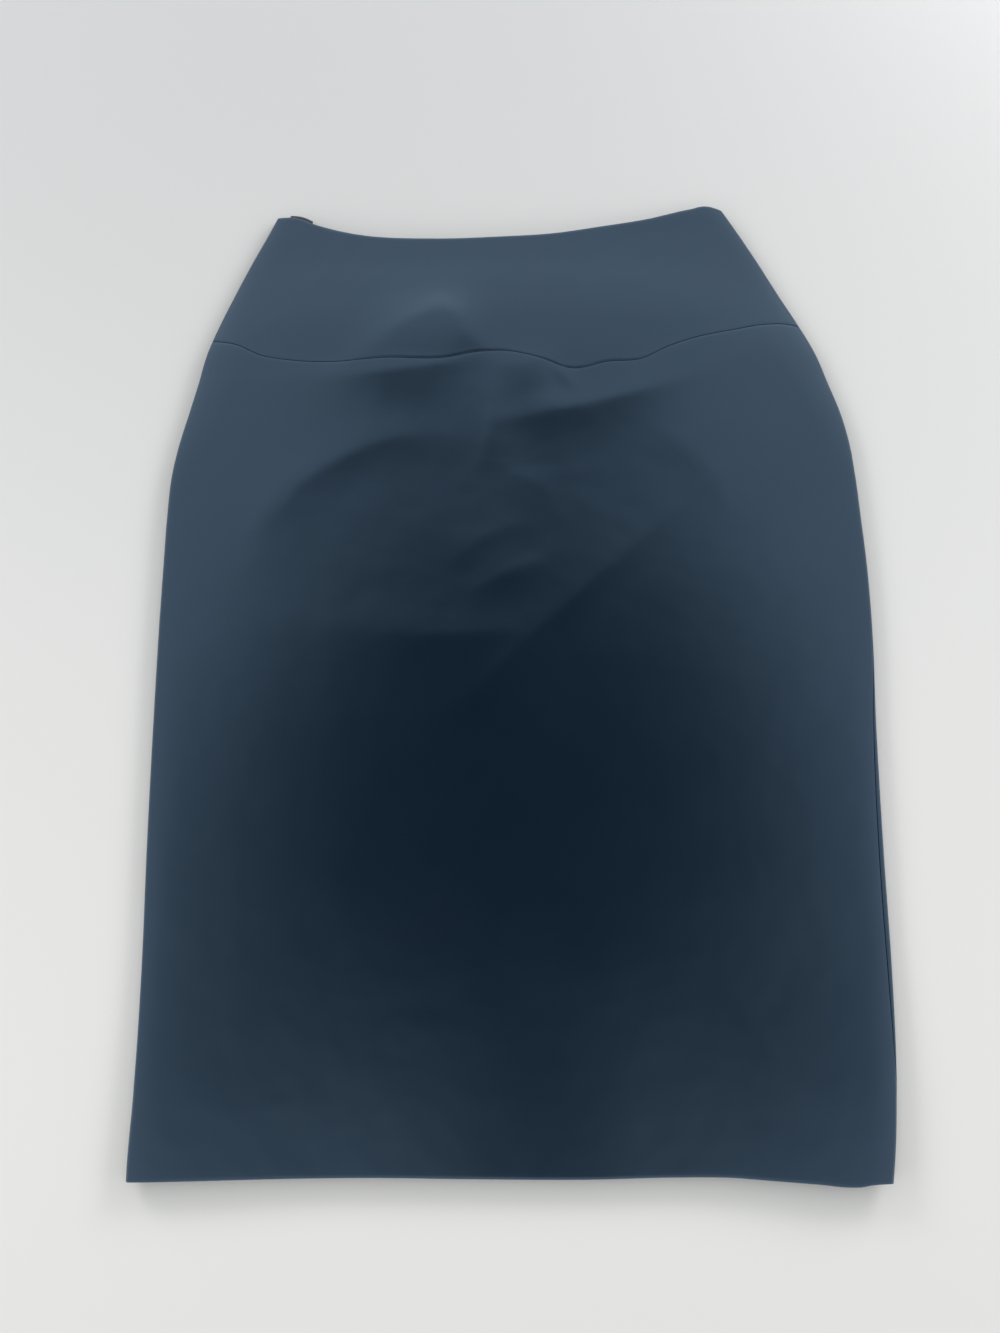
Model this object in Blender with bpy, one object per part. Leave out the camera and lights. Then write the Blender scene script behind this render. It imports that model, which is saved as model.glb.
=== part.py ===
"""Pencil skirt laid flat on a table: a contoured hip yoke over a plain lower panel, front and
back, sewn at both sides into a flattened tube, with a concealed zip in the left side seam.

+Z is up off the table, +Y runs from the hem to the waist and +X is to the right seen from above.
The origin is on the table under the middle of the skirt. Everything is in metres.
In the tables, "up" is the height above the lowest point of the hem, measured along the skirt,
and "across" is the share of the way from the left edge to the right one.
"""

import math

import bmesh
import bpy
import numpy as np

# Driving sizes
OVERALL_LENGTH = 0.6562   # lowest point of the hem to the higher corner of the waist
CLOTH = 0.0012            # one layer of the suiting
TURNED_HEM = 0.0020       # the same where the hem is folded up inside
HEM_DEPTH = 0.035         # how far the hem is folded up
ROLL_RADIUS = 0.0023      # the half round that the side edge rolls over
SEAM_GAP = 0.0003         # between two pieces at a seam
SEAM_DIP = 0.0002         # the valley that a pressed seam leaves in the surface
SEAM_DIP_WIDTH = 0.0013
LAYER_GAP = 0.0006        # least space left between the front layer and the back layer

# Width of the flattened skirt at each height, and how high its front stands over the edge roll
# up       left     right    rise
SECTIONS = np.array([
    (0.000, -0.2416, 0.2326, 0.0008),
    (0.012, -0.2415, 0.2343, 0.0009),
    (0.027, -0.2410, 0.2360, 0.0011),
    (0.045, -0.2402, 0.2374, 0.0014),
    (0.070, -0.2396, 0.2388, 0.0018),
    (0.125, -0.2394, 0.2400, 0.0028),
    (0.200, -0.2403, 0.2393, 0.0040),
    (0.280, -0.2405, 0.2393, 0.0055),
    (0.350, -0.2401, 0.2405, 0.0076),
    (0.392, -0.2394, 0.2394, 0.0091),
    (0.425, -0.2387, 0.2372, 0.0103),
    (0.456, -0.2368, 0.2349, 0.0115),
    (0.478, -0.2328, 0.2323, 0.0125),
    (0.500, -0.2272, 0.2273, 0.0135),
    (0.522, -0.2217, 0.2197, 0.0143),
    (0.544, -0.2166, 0.2119, 0.0146),
    (0.567, -0.2080, 0.2000, 0.0137),
    (0.590, -0.1980, 0.1868, 0.0112),
    (0.613, -0.1875, 0.1742, 0.0080),
    (0.637, -0.1757, 0.1602, 0.0055),
    (0.657, -0.1666, 0.1478, 0.0045),
])

# The lines that the pieces are cut to
# across  up
HEM_LINE = np.array([
    (0.00, 0.0020),
    (0.08, 0.0020),
    (0.22, 0.0026),
    (0.45, 0.0006),
    (0.60, 0.0003),
    (0.79, 0.0030),
    (0.90, 0.0014),
    (0.96, 0.0000),
    (1.00, 0.0022),
])
FRONT_SEAM_LINE = np.array([
    (0.000, 0.5538),
    (0.050, 0.5490),
    (0.100, 0.5394),
    (0.150, 0.5348),
    (0.210, 0.5322),
    (0.300, 0.5335),
    (0.395, 0.5334),
    (0.445, 0.5378),
    (0.490, 0.5388),
    (0.540, 0.5340),
    (0.590, 0.5264),
    (0.650, 0.5316),
    (0.700, 0.5336),
    (0.750, 0.5434),
    (0.800, 0.5508),
    (0.875, 0.5584),
    (0.930, 0.5635),
    (0.980, 0.5650),
    (1.000, 0.5638),
])
BACK_SEAM_LINE = np.array([
    (0.00, 0.5538),
    (0.20, 0.5380),
    (0.50, 0.5310),
    (0.80, 0.5460),
    (1.00, 0.5638),
])
FRONT_WAIST_LINE = np.array([
    (0.00, 0.6483),
    (0.05, 0.6472),
    (0.10, 0.6410),
    (0.20, 0.6326),
    (0.36, 0.6290),
    (0.49, 0.6305),
    (0.60, 0.6329),
    (0.70, 0.6378),
    (0.81, 0.6446),
    (0.92, 0.6536),
    (0.97, 0.6566),
    (1.00, 0.6535),
])
BACK_WAIST_LINE = np.array([
    (0.00, 0.6483),
    (0.10, 0.6400),
    (0.36, 0.6270),
    (0.60, 0.6305),
    (0.81, 0.6425),
    (0.95, 0.6535),
    (1.00, 0.6535),
])

# On the right the back rolls round to the front below the hip, and the seam lies inside the edge
# up      seam_inside
SIDE_SEAM = np.array([
    (0.000, 0.0000),
    (0.030, 0.0000),
    (0.080, 0.0030),
    (0.130, 0.0047),
    (0.190, 0.0050),
    (0.260, 0.0042),
    (0.325, 0.0020),
    (0.370, 0.0000),
    (0.657, 0.0000),
])

# The two hem corners stand off the table, less and less up to "top"
# x       top    reach  height
CORNER_LIFTS = (
    (-0.240, 0.160, 0.140, 0.0020),
    (0.232, 0.160, 0.150, 0.0030),
)

# Folds of the front: a ridge has a positive height and a trough a negative one. A fold runs at
# its angle from +X, its ends bend towards its left side by "bend" metres at half its length, and
# its right side (facing the hem on a fold that runs across) is "steep" times as wide as its left.
# name               x       up      angle  half_length half_width height  bend    steep
FOLDS = (
    ("belly_left",  -0.1180, 0.4650, 28.0, 0.062, 0.026, 0.0010, -0.016, 0.60),
    ("belly_right",  0.1230, 0.4660, -44.0, 0.038, 0.020, 0.0004, -0.008, 0.80),
    ("seam_left",   -0.1060, 0.5235, 4.0, 0.064, 0.009, 0.0013, 0.001, 3.00),
    ("seam_right",   0.0800, 0.5100, 17.0, 0.074, 0.011, 0.0016, 0.004, 1.60),
    ("yoke_left",   -0.0840, 0.5510, 34.0, 0.038, 0.018, 0.0028, 0.000, 1.60),
    ("yoke_middle", -0.0380, 0.5590, -46.0, 0.022, 0.014, 0.0022, 0.000, 1.60),
    ("smile_left",  -0.0580, 0.3420, -1.0, 0.066, 0.022, 0.0009, 0.004, 1.00),
)

# Concealed zip in the left side seam: its tape lies flat between the two layers
WAIST_CORNER_UP = 0.6483  # the waist's left corner, where the zip ends
ZIP_LENGTH = 0.195
TAPE_INSET = 0.0080       # the tape's outer edge, inside the skirt's left edge
TAPE_WIDTH = 0.0180
TAPE = 0.0010
TAPE_OVER_BACK = 0.0003   # clear of the back layer under it
TAPE_END_OVER = 0.0032    # the tape's end stands this far past the waist edge
SLIDER_INSET = 0.0190     # the slider's middle, inside the skirt's left edge
SLIDER_BELOW_WAIST = 0.0150
SLIDER_LENGTH = 0.0080
SLIDER_WIDTH = 0.0050
SLIDER_HEIGHT = 0.0012
PULL_LENGTH = 0.0150
PULL_WIDTH = 0.0032
PULL_END_STEPS = 8        # facets of the pull's round end
SLIDER_TOP = 0.6          # widths of the slider's top and mouth and of the pull's neck, as shares
SLIDER_MOUTH = 0.7
PULL_NECK = 0.5

# How finely the surfaces are divided
EDGE_STEPS = (0.0, 0.0012, 0.0024, 0.0037, 0.0075)
WRAP_STEPS = (0.0, 0.0020, 0.0040, 0.0060, 0.0080, 0.0100, 0.0120, 0.0150)
FRONT_COLUMNS = 36
BACK_COLUMNS = 12
FOLDS_FROM = 0.280        # the rows of the panels are closer from here up
SHARED_TO = 0.390
ROWS_BELOW_FOLDS = 11
ROWS_SHARED = 9
FRONT_ROWS_ABOVE = 14
BACK_ROWS_ABOVE = 6
YOKE_ROWS = 9
YOKE_SEAM_ROW = 0.02      # share of the yoke's height where the row next to its seam lies
BACK_YOKE_ROWS = 6
ZIP_ROWS = 20
HEM_STEP = 0.0020         # height over which the doubled hem thins to one layer
HEM_ROWS = 3              # rows of points on the doubled hem
PROBE = 0.00005           # half the distance over which a slope is measured
SETTLING_ROUNDS = 4       # for the height and the width at that height to agree

QUARTER_ROLL = ROLL_RADIUS * math.pi / 2
CROWN_POWER = 2.6         # flatter in the middle than a round arch
EDGE_RISE = 0.0009        # the soft rise of the front next to its side edges
EDGE_RISE_WIDTH = 0.0060
FOLD_TAPER = 0.012        # distance from an edge over which the folds grow in
FOLD_CREST = 1.4          # 2 is a round crest, and less is a keener one
FOLD_ENDS = 2.4           # 2 fades evenly, and more keeps its height further out

NAVY = (0.022, 0.036, 0.062, 1.0)
ZIP_NAVY = (0.008, 0.010, 0.018, 1.0)
ZIP_METAL = (0.050, 0.055, 0.065, 1.0)


def clear_scene():
    for thing in list(bpy.data.objects):
        bpy.data.objects.remove(thing, do_unlink=True)


def along(table, column, at):
    """Smooth curve through one column of a table, read at the given values of its first one."""
    knots = table[:, 0]
    values = table[:, column]
    slopes = np.gradient(values, knots)
    row = np.clip(np.searchsorted(knots, at) - 1, 0, len(knots) - 2)
    span = knots[row + 1] - knots[row]
    t = np.clip((at - knots[row]) / span, 0.0, 1.0)
    start = (1 + 2 * t) * (1 - t) ** 2 * values[row] + t * (1 - t) ** 2 * span * slopes[row]
    end = t * t * (3 - 2 * t) * values[row + 1] - t * t * (1 - t) * span * slopes[row + 1]
    return start + end


def ease(t):
    """0 to 1 with level ends."""
    t = np.clip(t, 0.0, 1.0)
    return t * t * (3 - 2 * t)


def corner_lift(x, up):
    """How far the cloth stands off the table near the hem's corners."""
    total = 0.0 * x
    for corner_x, top, reach, height in CORNER_LIFTS:
        near_x = 1 - ease(np.abs(x - corner_x) / reach)
        near_hem = 1 - ease(up / top)
        total = total + height * near_x * near_hem
    return total


def fold_height(x, up):
    """Sum of the folds at a place on the front."""
    total = 0.0 * x
    for _, fold_x, fold_up, angle, half_length, half_width, height, bend, steep in FOLDS:
        cosine = math.cos(math.radians(angle))
        sine = math.sin(math.radians(angle))
        lengthwise = (x - fold_x) * cosine + (up - fold_up) * sine
        sideways = (up - fold_up) * cosine - (x - fold_x) * sine
        sideways = sideways - bend * (lengthwise / half_length) ** 2
        width = np.where(sideways < 0, half_width * steep, half_width)
        fall = np.abs(lengthwise / half_length) ** FOLD_ENDS + np.abs(sideways / width) ** FOLD_CREST
        total = total + height * np.exp(-fall)
    return total


def half_ring_length(up):
    """From one side edge over the front to the other."""
    width = along(SECTIONS, 2, up) - along(SECTIONS, 1, up)
    return width - 2 * ROLL_RADIUS + 2 * QUARTER_ROLL


def ring_point(path, up, sunk):
    """Place on the outside of the flattened tube at one height. path starts at the left edge, runs
    over the front to the right edge and back under the skirt. sunk lowers the front's surface."""
    left = along(SECTIONS, 1, up)
    right = along(SECTIONS, 2, up)
    half_ring = half_ring_length(up)
    on_front = path <= half_ring
    over = np.where(on_front, path, 2 * half_ring - path)
    from_edge = np.minimum(over, half_ring - over)
    turn = np.minimum(from_edge, QUARTER_ROLL) / ROLL_RADIUS
    inward = ROLL_RADIUS * (1 - np.cos(turn)) + np.maximum(from_edge - QUARTER_ROLL, 0.0)
    x = np.where(over < half_ring / 2, left + inward, right - inward)
    across = (x - left) / (right - left)
    crown = along(SECTIONS, 3, up) * (1 - np.abs(2 * across - 1) ** CROWN_POWER)
    edge_rise = EDGE_RISE * (1 - np.exp(-inward / EDGE_RISE_WIDTH))
    folds = ease(inward / FOLD_TAPER) * fold_height(x, up)
    relief = np.maximum(crown + edge_rise + folds, LAYER_GAP - ROLL_RADIUS)
    front_z = ROLL_RADIUS * (1 + np.sin(turn)) + relief - sunk * np.sin(turn)
    back_z = ROLL_RADIUS * (1 - np.sin(turn))
    z = np.where(on_front, front_z, back_z) + corner_lift(x, up)
    return np.stack([x, up - OVERALL_LENGTH / 2, z], axis=-1)


def columns(start_steps, end_steps, inner, crowded_sides):
    """Each column's share of the way between two side seams, and what is added to that way: the
    columns next to a seam keep a fixed distance to it, and the rest divide what is left."""
    shares = [0.0] * len(start_steps)
    added = list(start_steps)
    for i in range(1, inner + 1):
        share = i / (inner + 1)
        if crowded_sides:
            share = (1 - math.cos(math.pi * share)) / 2
        shares.append(share)
        added.append(start_steps[-1] * (1 - share) - end_steps[-1] * share)
    shares += [1.0] * len(end_steps)
    added += [-step for step in reversed(end_steps)]
    return np.array(shares), np.array(added)


def panel_places(is_front, low_line, high_line, seam_at, row_shares, column_plan):
    """For rows from one cutting line to another and columns between the side seams: the way round
    the ring, the height, and how deep the seam's valley is there. seam_at names the end, "low" or
    "high", that is sewn at the yoke seam."""
    shares, added = (grid[None, :] for grid in column_plan)
    rows = np.array(row_shares)[:, None]
    low_gap = SEAM_GAP / 2 if seam_at == "low" else 0.0
    high_gap = SEAM_GAP / 2 if seam_at == "high" else 0.0
    up = 0.0 * shares + rows * OVERALL_LENGTH
    for _ in range(SETTLING_ROUNDS):
        half_ring = half_ring_length(up)
        right_seam = half_ring - np.maximum(along(SIDE_SEAM, 1, up), 0.0)
        if is_front:
            start = SEAM_GAP / 2 + 0.0 * up
            end = right_seam - SEAM_GAP / 2
        else:
            start = right_seam + SEAM_GAP / 2
            end = 2 * half_ring - SEAM_GAP / 2
        path = start + (end - start) * shares + added
        across = np.clip(1 - np.abs(path / half_ring - 1), 0.0, 1.0)
        low = along(low_line, 1, across) + low_gap
        high = along(high_line, 1, across) - high_gap
        up = low + (high - low) * rows
    from_seam = high - up if seam_at == "high" else up - low
    return path, up, SEAM_DIP * np.exp(-((from_seam / SEAM_DIP_WIDTH) ** 2))


def outside_and_inside(path, up, sunk, thickness):
    """Points on the outside of the cloth, and the same points moved inwards by its thickness."""
    outside = ring_point(path, up, sunk)
    round_ring = ring_point(path + PROBE, up, sunk) - ring_point(path - PROBE, up, sunk)
    along_skirt = ring_point(path, up + PROBE, sunk) - ring_point(path, up - PROBE, sunk)
    outwards = np.cross(round_ring, along_skirt)
    outwards /= np.linalg.norm(outwards, axis=-1, keepdims=True)
    return outside, outside - outwards * thickness


def cloth_material(name, colour, roughness, metallic=0.0):
    material = bpy.data.materials.new(name)
    material.use_nodes = True
    shader = material.node_tree.nodes["Principled BSDF"]
    shader.inputs["Base Color"].default_value = colour
    shader.inputs["Roughness"].default_value = roughness
    shader.inputs["Metallic"].default_value = metallic
    material.diffuse_color = colour
    return material


def new_piece(name, bm, material):
    mesh = bpy.data.meshes.new(name)
    bm.to_mesh(mesh)
    bm.free()
    mesh.materials.append(material)
    piece = bpy.data.objects.new(name, mesh)
    bpy.context.collection.objects.link(piece)
    return piece


def cloth_wall(name, outside, inside, material):
    """One piece of cloth: a grid of points on its outside, one on its inside, and its cut edge."""
    bm = bmesh.new()
    outer = [[bm.verts.new(point) for point in row] for row in outside]
    inner = [[bm.verts.new(point) for point in row] for row in inside]
    rows = len(outer)
    count = len(outer[0])
    for row in range(rows - 1):
        for column in range(count - 1):
            corners = ((row, column), (row, column + 1), (row + 1, column + 1), (row + 1, column))
            bm.faces.new([outer[r][c] for r, c in corners])
            bm.faces.new([inner[r][c] for r, c in reversed(corners)])
    edge = [(0, column) for column in range(count)]
    edge += [(row, count - 1) for row in range(1, rows)]
    edge += [(rows - 1, column) for column in range(count - 2, -1, -1)]
    edge += [(row, 0) for row in range(rows - 2, 0, -1)]
    for (r, c), (next_r, next_c) in zip(edge, edge[1:] + edge[:1]):
        bm.faces.new([inner[r][c], inner[next_r][next_c], outer[next_r][next_c], outer[r][c]])
    piece = new_piece(name, bm, material)
    piece.data.shade_smooth()
    piece.data.set_sharp_from_angle(angle=math.radians(45))
    return piece


def panel_row_shares(height, rows_above):
    """Rows from the hem to the seam, with one on each side of the folded hem's upper edge. Front
    and back share them up to where the side seam is back at the edge, so that they meet there."""
    shares = [0.0, HEM_DEPTH / 2 / height, HEM_DEPTH / height]
    start = (HEM_DEPTH + HEM_STEP) / height
    for end, rows in ((FOLDS_FROM / height, ROWS_BELOW_FOLDS),
                      (SHARED_TO / height, ROWS_SHARED), (1.0, rows_above)):
        shares += [start + (end - start) * i / rows for i in range(rows)]
        start = end
    return shares + [1.0]


def make_panels(navy):
    front = columns(EDGE_STEPS, EDGE_STEPS, FRONT_COLUMNS, False)
    back = columns(WRAP_STEPS, EDGE_STEPS, BACK_COLUMNS, True)
    height = float(along(FRONT_SEAM_LINE, 1, 0.5) - along(HEM_LINE, 1, 0.5))
    front_rows = panel_row_shares(height, FRONT_ROWS_ABOVE)
    back_rows = panel_row_shares(height, BACK_ROWS_ABOVE)
    yoke_rows = [0.0, YOKE_SEAM_ROW] + [i / YOKE_ROWS for i in range(1, YOKE_ROWS + 1)]
    back_yoke_rows = [i / BACK_YOKE_ROWS for i in range(BACK_YOKE_ROWS + 1)]
    shapes = {
        "front_panel": (True, HEM_LINE, FRONT_SEAM_LINE, "high", front_rows, front),
        "front_yoke": (True, FRONT_SEAM_LINE, FRONT_WAIST_LINE, "low", yoke_rows, front),
        "back_panel": (False, HEM_LINE, BACK_SEAM_LINE, "high", back_rows, back),
        "back_yoke": (False, BACK_SEAM_LINE, BACK_WAIST_LINE, "low", back_yoke_rows, back),
    }
    for name, shape in shapes.items():
        path, up, sunk = panel_places(*shape)
        thickness = np.full(path.shape + (1,), CLOTH)
        if shape[1] is HEM_LINE:
            thickness[:HEM_ROWS] = TURNED_HEM
        cloth_wall(name, *outside_and_inside(path, up, sunk, thickness), navy)


def make_zip(tape_colour, metal):
    """The tape follows the left side seam between the layers, its end cut along the waist."""
    widths = np.array([[0.0, 0.5, 1.0]]) * TAPE_WIDTH
    top_left = along(SECTIONS, 1, WAIST_CORNER_UP)
    top_across = (TAPE_INSET + widths) / (along(SECTIONS, 2, WAIST_CORNER_UP) - top_left)
    top_up = along(FRONT_WAIST_LINE, 1, top_across) + TAPE_END_OVER
    up = top_up - ZIP_LENGTH * (1 - np.linspace(0.0, 1.0, ZIP_ROWS)[:, None])
    x = along(SECTIONS, 1, up) + TAPE_INSET + widths
    top = CLOTH + TAPE_OVER_BACK + TAPE
    outside = np.stack([x, up - OVERALL_LENGTH / 2, top + 0.0 * up], axis=-1)
    cloth_wall("side_zip_tape", outside, outside - (0.0, 0.0, TAPE), tape_colour)

    slider_up = WAIST_CORNER_UP - SLIDER_BELOW_WAIST
    slider_x = float(along(SECTIONS, 1, slider_up)) + SLIDER_INSET
    slider_y = slider_up - OVERALL_LENGTH / 2
    base = top + TAPE_OVER_BACK
    bm = bmesh.new()
    outline = [bm.verts.new((slider_x + px, slider_y + py, base)) for px, py in slider_outline()]
    face = bm.faces.new(outline)
    raised = bmesh.ops.extrude_face_region(bm, geom=[face])["geom"]
    lifted = [item for item in raised if isinstance(item, bmesh.types.BMVert)]
    bmesh.ops.translate(bm, vec=(0.0, 0.0, SLIDER_HEIGHT), verts=lifted)
    bmesh.ops.recalc_face_normals(bm, faces=bm.faces)
    new_piece("zip_slider", bm, metal)


def slider_outline():
    """Seen from above: a body that tapers to its mouth, with the pull hanging from it."""
    half_body = SLIDER_WIDTH / 2
    half_pull = PULL_WIDTH / 2
    points = [
        (-half_body * SLIDER_TOP, SLIDER_LENGTH / 2),
        (-half_body, SLIDER_LENGTH / 6),
        (-half_body * SLIDER_MOUTH, -SLIDER_LENGTH / 2),
        (-half_pull * PULL_NECK, -SLIDER_LENGTH / 2),
    ]
    for i in range(PULL_END_STEPS + 1):
        angle = math.pi * i / PULL_END_STEPS
        down = -SLIDER_LENGTH / 2 - PULL_LENGTH + half_pull * (1 - math.sin(angle))
        points.append((-half_pull * math.cos(angle), down))
    points += [(-px, py) for px, py in reversed(points[:4])]
    return points


clear_scene()
make_panels(cloth_material("navy_suiting", NAVY, 0.55))
make_zip(cloth_material("zip_tape", ZIP_NAVY, 0.75), cloth_material("zip_metal", ZIP_METAL, 0.35, 0.9))
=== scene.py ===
# %% [markdown]
# # Pencil skirt laid flat
# A pencil skirt is a narrow tube of suiting. This one has a shaped yoke from the waist to the
# hip, a plain panel from there to the knee, a back cut the same way and a concealed zip in its
# left side seam. It lies on a table, so the tube is pressed flat: the back is under the front,
# and the two meet in a soft roll at each side.
#
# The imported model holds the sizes. Each piece made here rides on its one body, and takes the
# place of the solid that it stands for. Everything is in metres, +Y runs from hem to waist, and
# +Z is up off the table.

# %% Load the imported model
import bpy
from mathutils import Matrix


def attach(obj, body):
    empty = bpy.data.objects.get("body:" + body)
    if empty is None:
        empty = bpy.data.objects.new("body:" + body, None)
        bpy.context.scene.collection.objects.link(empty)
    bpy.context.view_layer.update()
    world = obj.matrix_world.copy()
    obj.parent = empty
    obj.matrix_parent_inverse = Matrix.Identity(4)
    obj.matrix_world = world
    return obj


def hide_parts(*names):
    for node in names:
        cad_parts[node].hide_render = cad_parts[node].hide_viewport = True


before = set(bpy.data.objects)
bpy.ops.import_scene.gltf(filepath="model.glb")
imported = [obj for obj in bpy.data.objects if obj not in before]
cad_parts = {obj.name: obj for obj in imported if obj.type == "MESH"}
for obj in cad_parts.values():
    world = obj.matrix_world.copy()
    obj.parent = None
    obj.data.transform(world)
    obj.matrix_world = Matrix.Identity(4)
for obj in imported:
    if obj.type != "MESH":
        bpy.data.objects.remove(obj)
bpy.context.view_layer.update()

import math

import bpy
import numpy as np
from mathutils import Vector

bpy.ops.object.select_all(action="DESELECT")
print("solids:", ", ".join(sorted(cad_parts)))

# %% [markdown]
# ## The skirt's sizes
# A pattern cutter describes a skirt by how wide it is at each height and by the lines that its
# pieces are cut to. The same few tables shaped the solids, so they are repeated here and the fine
# cloth falls where the solids are. Only the hem and the front's waist are fitted a little finer, by
# 3 mm at the hem's sagging corners and 1 mm at the waist. "up" is the height above the base line,
# and "across" is the share of the way from the left edge to the right one.

# %% Sizes and cutting lines
OVERALL_LENGTH = 0.6562   # base line to the higher corner of the waist
CLOTH = 0.0012            # one layer of the suiting
TURNED_HEM = 0.0020       # the same where the hem is folded up inside
HEM_DEPTH = 0.035         # how far the hem is folded up
ROLL_RADIUS = 0.0023      # the half round that the side edge rolls over
QUARTER_ROLL = ROLL_RADIUS * math.pi / 2
SEAM_GAP = 0.0003         # between two pieces at a seam
LAYER_GAP = 0.0006        # least space left between the front layer and the back layer

# Width of the flattened skirt at each height, and how high its front stands over the edge roll
# up       left     right    rise
SECTIONS = np.array([
    (0.000, -0.2416, 0.2326, 0.0008),
    (0.012, -0.2415, 0.2343, 0.0009),
    (0.027, -0.2410, 0.2360, 0.0011),
    (0.045, -0.2402, 0.2374, 0.0014),
    (0.070, -0.2396, 0.2388, 0.0018),
    (0.125, -0.2394, 0.2400, 0.0028),
    (0.200, -0.2403, 0.2393, 0.0040),
    (0.280, -0.2405, 0.2393, 0.0055),
    (0.350, -0.2401, 0.2405, 0.0076),
    (0.392, -0.2394, 0.2394, 0.0091),
    (0.425, -0.2387, 0.2372, 0.0103),
    (0.456, -0.2368, 0.2349, 0.0115),
    (0.478, -0.2328, 0.2323, 0.0125),
    (0.500, -0.2272, 0.2273, 0.0135),
    (0.522, -0.2217, 0.2197, 0.0143),
    (0.544, -0.2166, 0.2119, 0.0146),
    (0.567, -0.2080, 0.2000, 0.0137),
    (0.590, -0.1980, 0.1868, 0.0112),
    (0.613, -0.1875, 0.1742, 0.0080),
    (0.637, -0.1757, 0.1602, 0.0055),
    (0.657, -0.1666, 0.1478, 0.0045),
])

# across  up
HEM_LINE = np.array([
    (0.000, -0.0008),
    (0.080, 0.0000),
    (0.220, 0.0013),
    (0.320, 0.0017),
    (0.450, 0.0010),
    (0.600, 0.0007),
    (0.720, 0.0020),
    (0.790, 0.0019),
    (0.835, 0.0005),
    (0.900, -0.0016),
    (0.945, -0.0032),
    (0.955, -0.0030),
    (0.965, -0.0021),
    (1.000, -0.0012),
])
FRONT_SEAM_LINE = np.array([
    (0.000, 0.5538),
    (0.050, 0.5490),
    (0.100, 0.5394),
    (0.150, 0.5348),
    (0.210, 0.5322),
    (0.300, 0.5335),
    (0.395, 0.5334),
    (0.445, 0.5378),
    (0.490, 0.5388),
    (0.540, 0.5340),
    (0.590, 0.5264),
    (0.650, 0.5316),
    (0.700, 0.5336),
    (0.750, 0.5434),
    (0.800, 0.5508),
    (0.875, 0.5584),
    (0.930, 0.5635),
    (0.980, 0.5650),
    (1.000, 0.5638),
])
BACK_SEAM_LINE = np.array([
    (0.00, 0.5538),
    (0.20, 0.5380),
    (0.50, 0.5310),
    (0.80, 0.5460),
    (1.00, 0.5638),
])
FRONT_WAIST_LINE = np.array([
    (0.00, 0.6483),
    (0.05, 0.6472),
    (0.10, 0.6410),
    (0.20, 0.6320),
    (0.36, 0.6280),
    (0.49, 0.6295),
    (0.60, 0.6322),
    (0.70, 0.6378),
    (0.81, 0.6446),
    (0.92, 0.6536),
    (0.97, 0.6566),
    (1.00, 0.6535),
])
BACK_WAIST_LINE = np.array([
    (0.00, 0.6483),
    (0.10, 0.6400),
    (0.36, 0.6270),
    (0.60, 0.6305),
    (0.81, 0.6425),
    (0.95, 0.6535),
    (1.00, 0.6535),
])

# On the right the back rolls round to the front below the hip, and the seam lies inside the edge
# up      seam_inside
SIDE_SEAM = np.array([
    (0.000, 0.0000),
    (0.030, 0.0000),
    (0.080, 0.0030),
    (0.130, 0.0047),
    (0.190, 0.0050),
    (0.260, 0.0042),
    (0.325, 0.0020),
    (0.370, 0.0000),
    (0.657, 0.0000),
])

print(f"skirt {OVERALL_LENGTH * 1000:.0f} mm long, {len(SECTIONS)} sections")

# %% [markdown]
# ## Smooth curves through the tables
# Cloth has no corners between two measured widths, so each table is read through a cubic curve
# that passes through its rows with the slope of its neighbours.

# %% Read a table as a smooth curve
def along(table, column, at):
    """Smooth curve through one column of a table, read at the given values of its first one."""
    knots = table[:, 0]
    values = table[:, column]
    slopes = np.gradient(values, knots)
    row = np.clip(np.searchsorted(knots, at) - 1, 0, len(knots) - 2)
    span = knots[row + 1] - knots[row]
    t = np.clip((at - knots[row]) / span, 0.0, 1.0)
    start = (1 + 2 * t) * (1 - t) ** 2 * values[row] + t * (1 - t) ** 2 * span * slopes[row]
    end = t * t * (3 - 2 * t) * values[row + 1] - t * t * (1 - t) * span * slopes[row + 1]
    return start + end


def ease(t):
    """0 to 1 with level ends."""
    t = np.clip(t, 0.0, 1.0)
    return t * t * (3 - 2 * t)


HIP_UP = 0.40             # where the skirt is measured across
hip_width = along(SECTIONS, 2, HIP_UP) - along(SECTIONS, 1, HIP_UP)
print(f"across the hip: {hip_width * 1000:.0f} mm")

# %% [markdown]
# ## Folds
# The skirt was put down without being smoothed, so the spare cloth over the stomach has sunk into
# a few soft folds under the yoke seam. Each one is a long bump or hollow with a row of its own:
# where it is, which way it runs, how long, wide and high it is, how much it bends and how much
# steeper one side is. A simulation could drape the cloth too, but it would put the folds where it
# likes. The first table has the folds that the solids have, and the second has finer ones.

# %% Fold tables
# name               x       up      angle  half_length half_width height  bend    steep
FOLDS = (
    ("belly_left",  -0.1180, 0.4650, 28.0, 0.062, 0.026, 0.0010, -0.016, 0.60),
    ("belly_right",  0.1230, 0.4660, -44.0, 0.038, 0.020, 0.0004, -0.008, 0.80),
    ("seam_left",   -0.1060, 0.5235, 4.0, 0.064, 0.009, 0.0013, 0.001, 3.00),
    ("seam_right",   0.0800, 0.5100, 17.0, 0.074, 0.011, 0.0016, 0.004, 1.60),
    ("yoke_left",   -0.0840, 0.5510, 34.0, 0.038, 0.018, 0.0028, 0.000, 1.60),
    ("yoke_middle", -0.0380, 0.5590, -46.0, 0.022, 0.014, 0.0022, 0.000, 1.60),
    ("smile_left",  -0.0580, 0.3420, -1.0, 0.066, 0.022, 0.0009, 0.004, 1.00),
)
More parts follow.
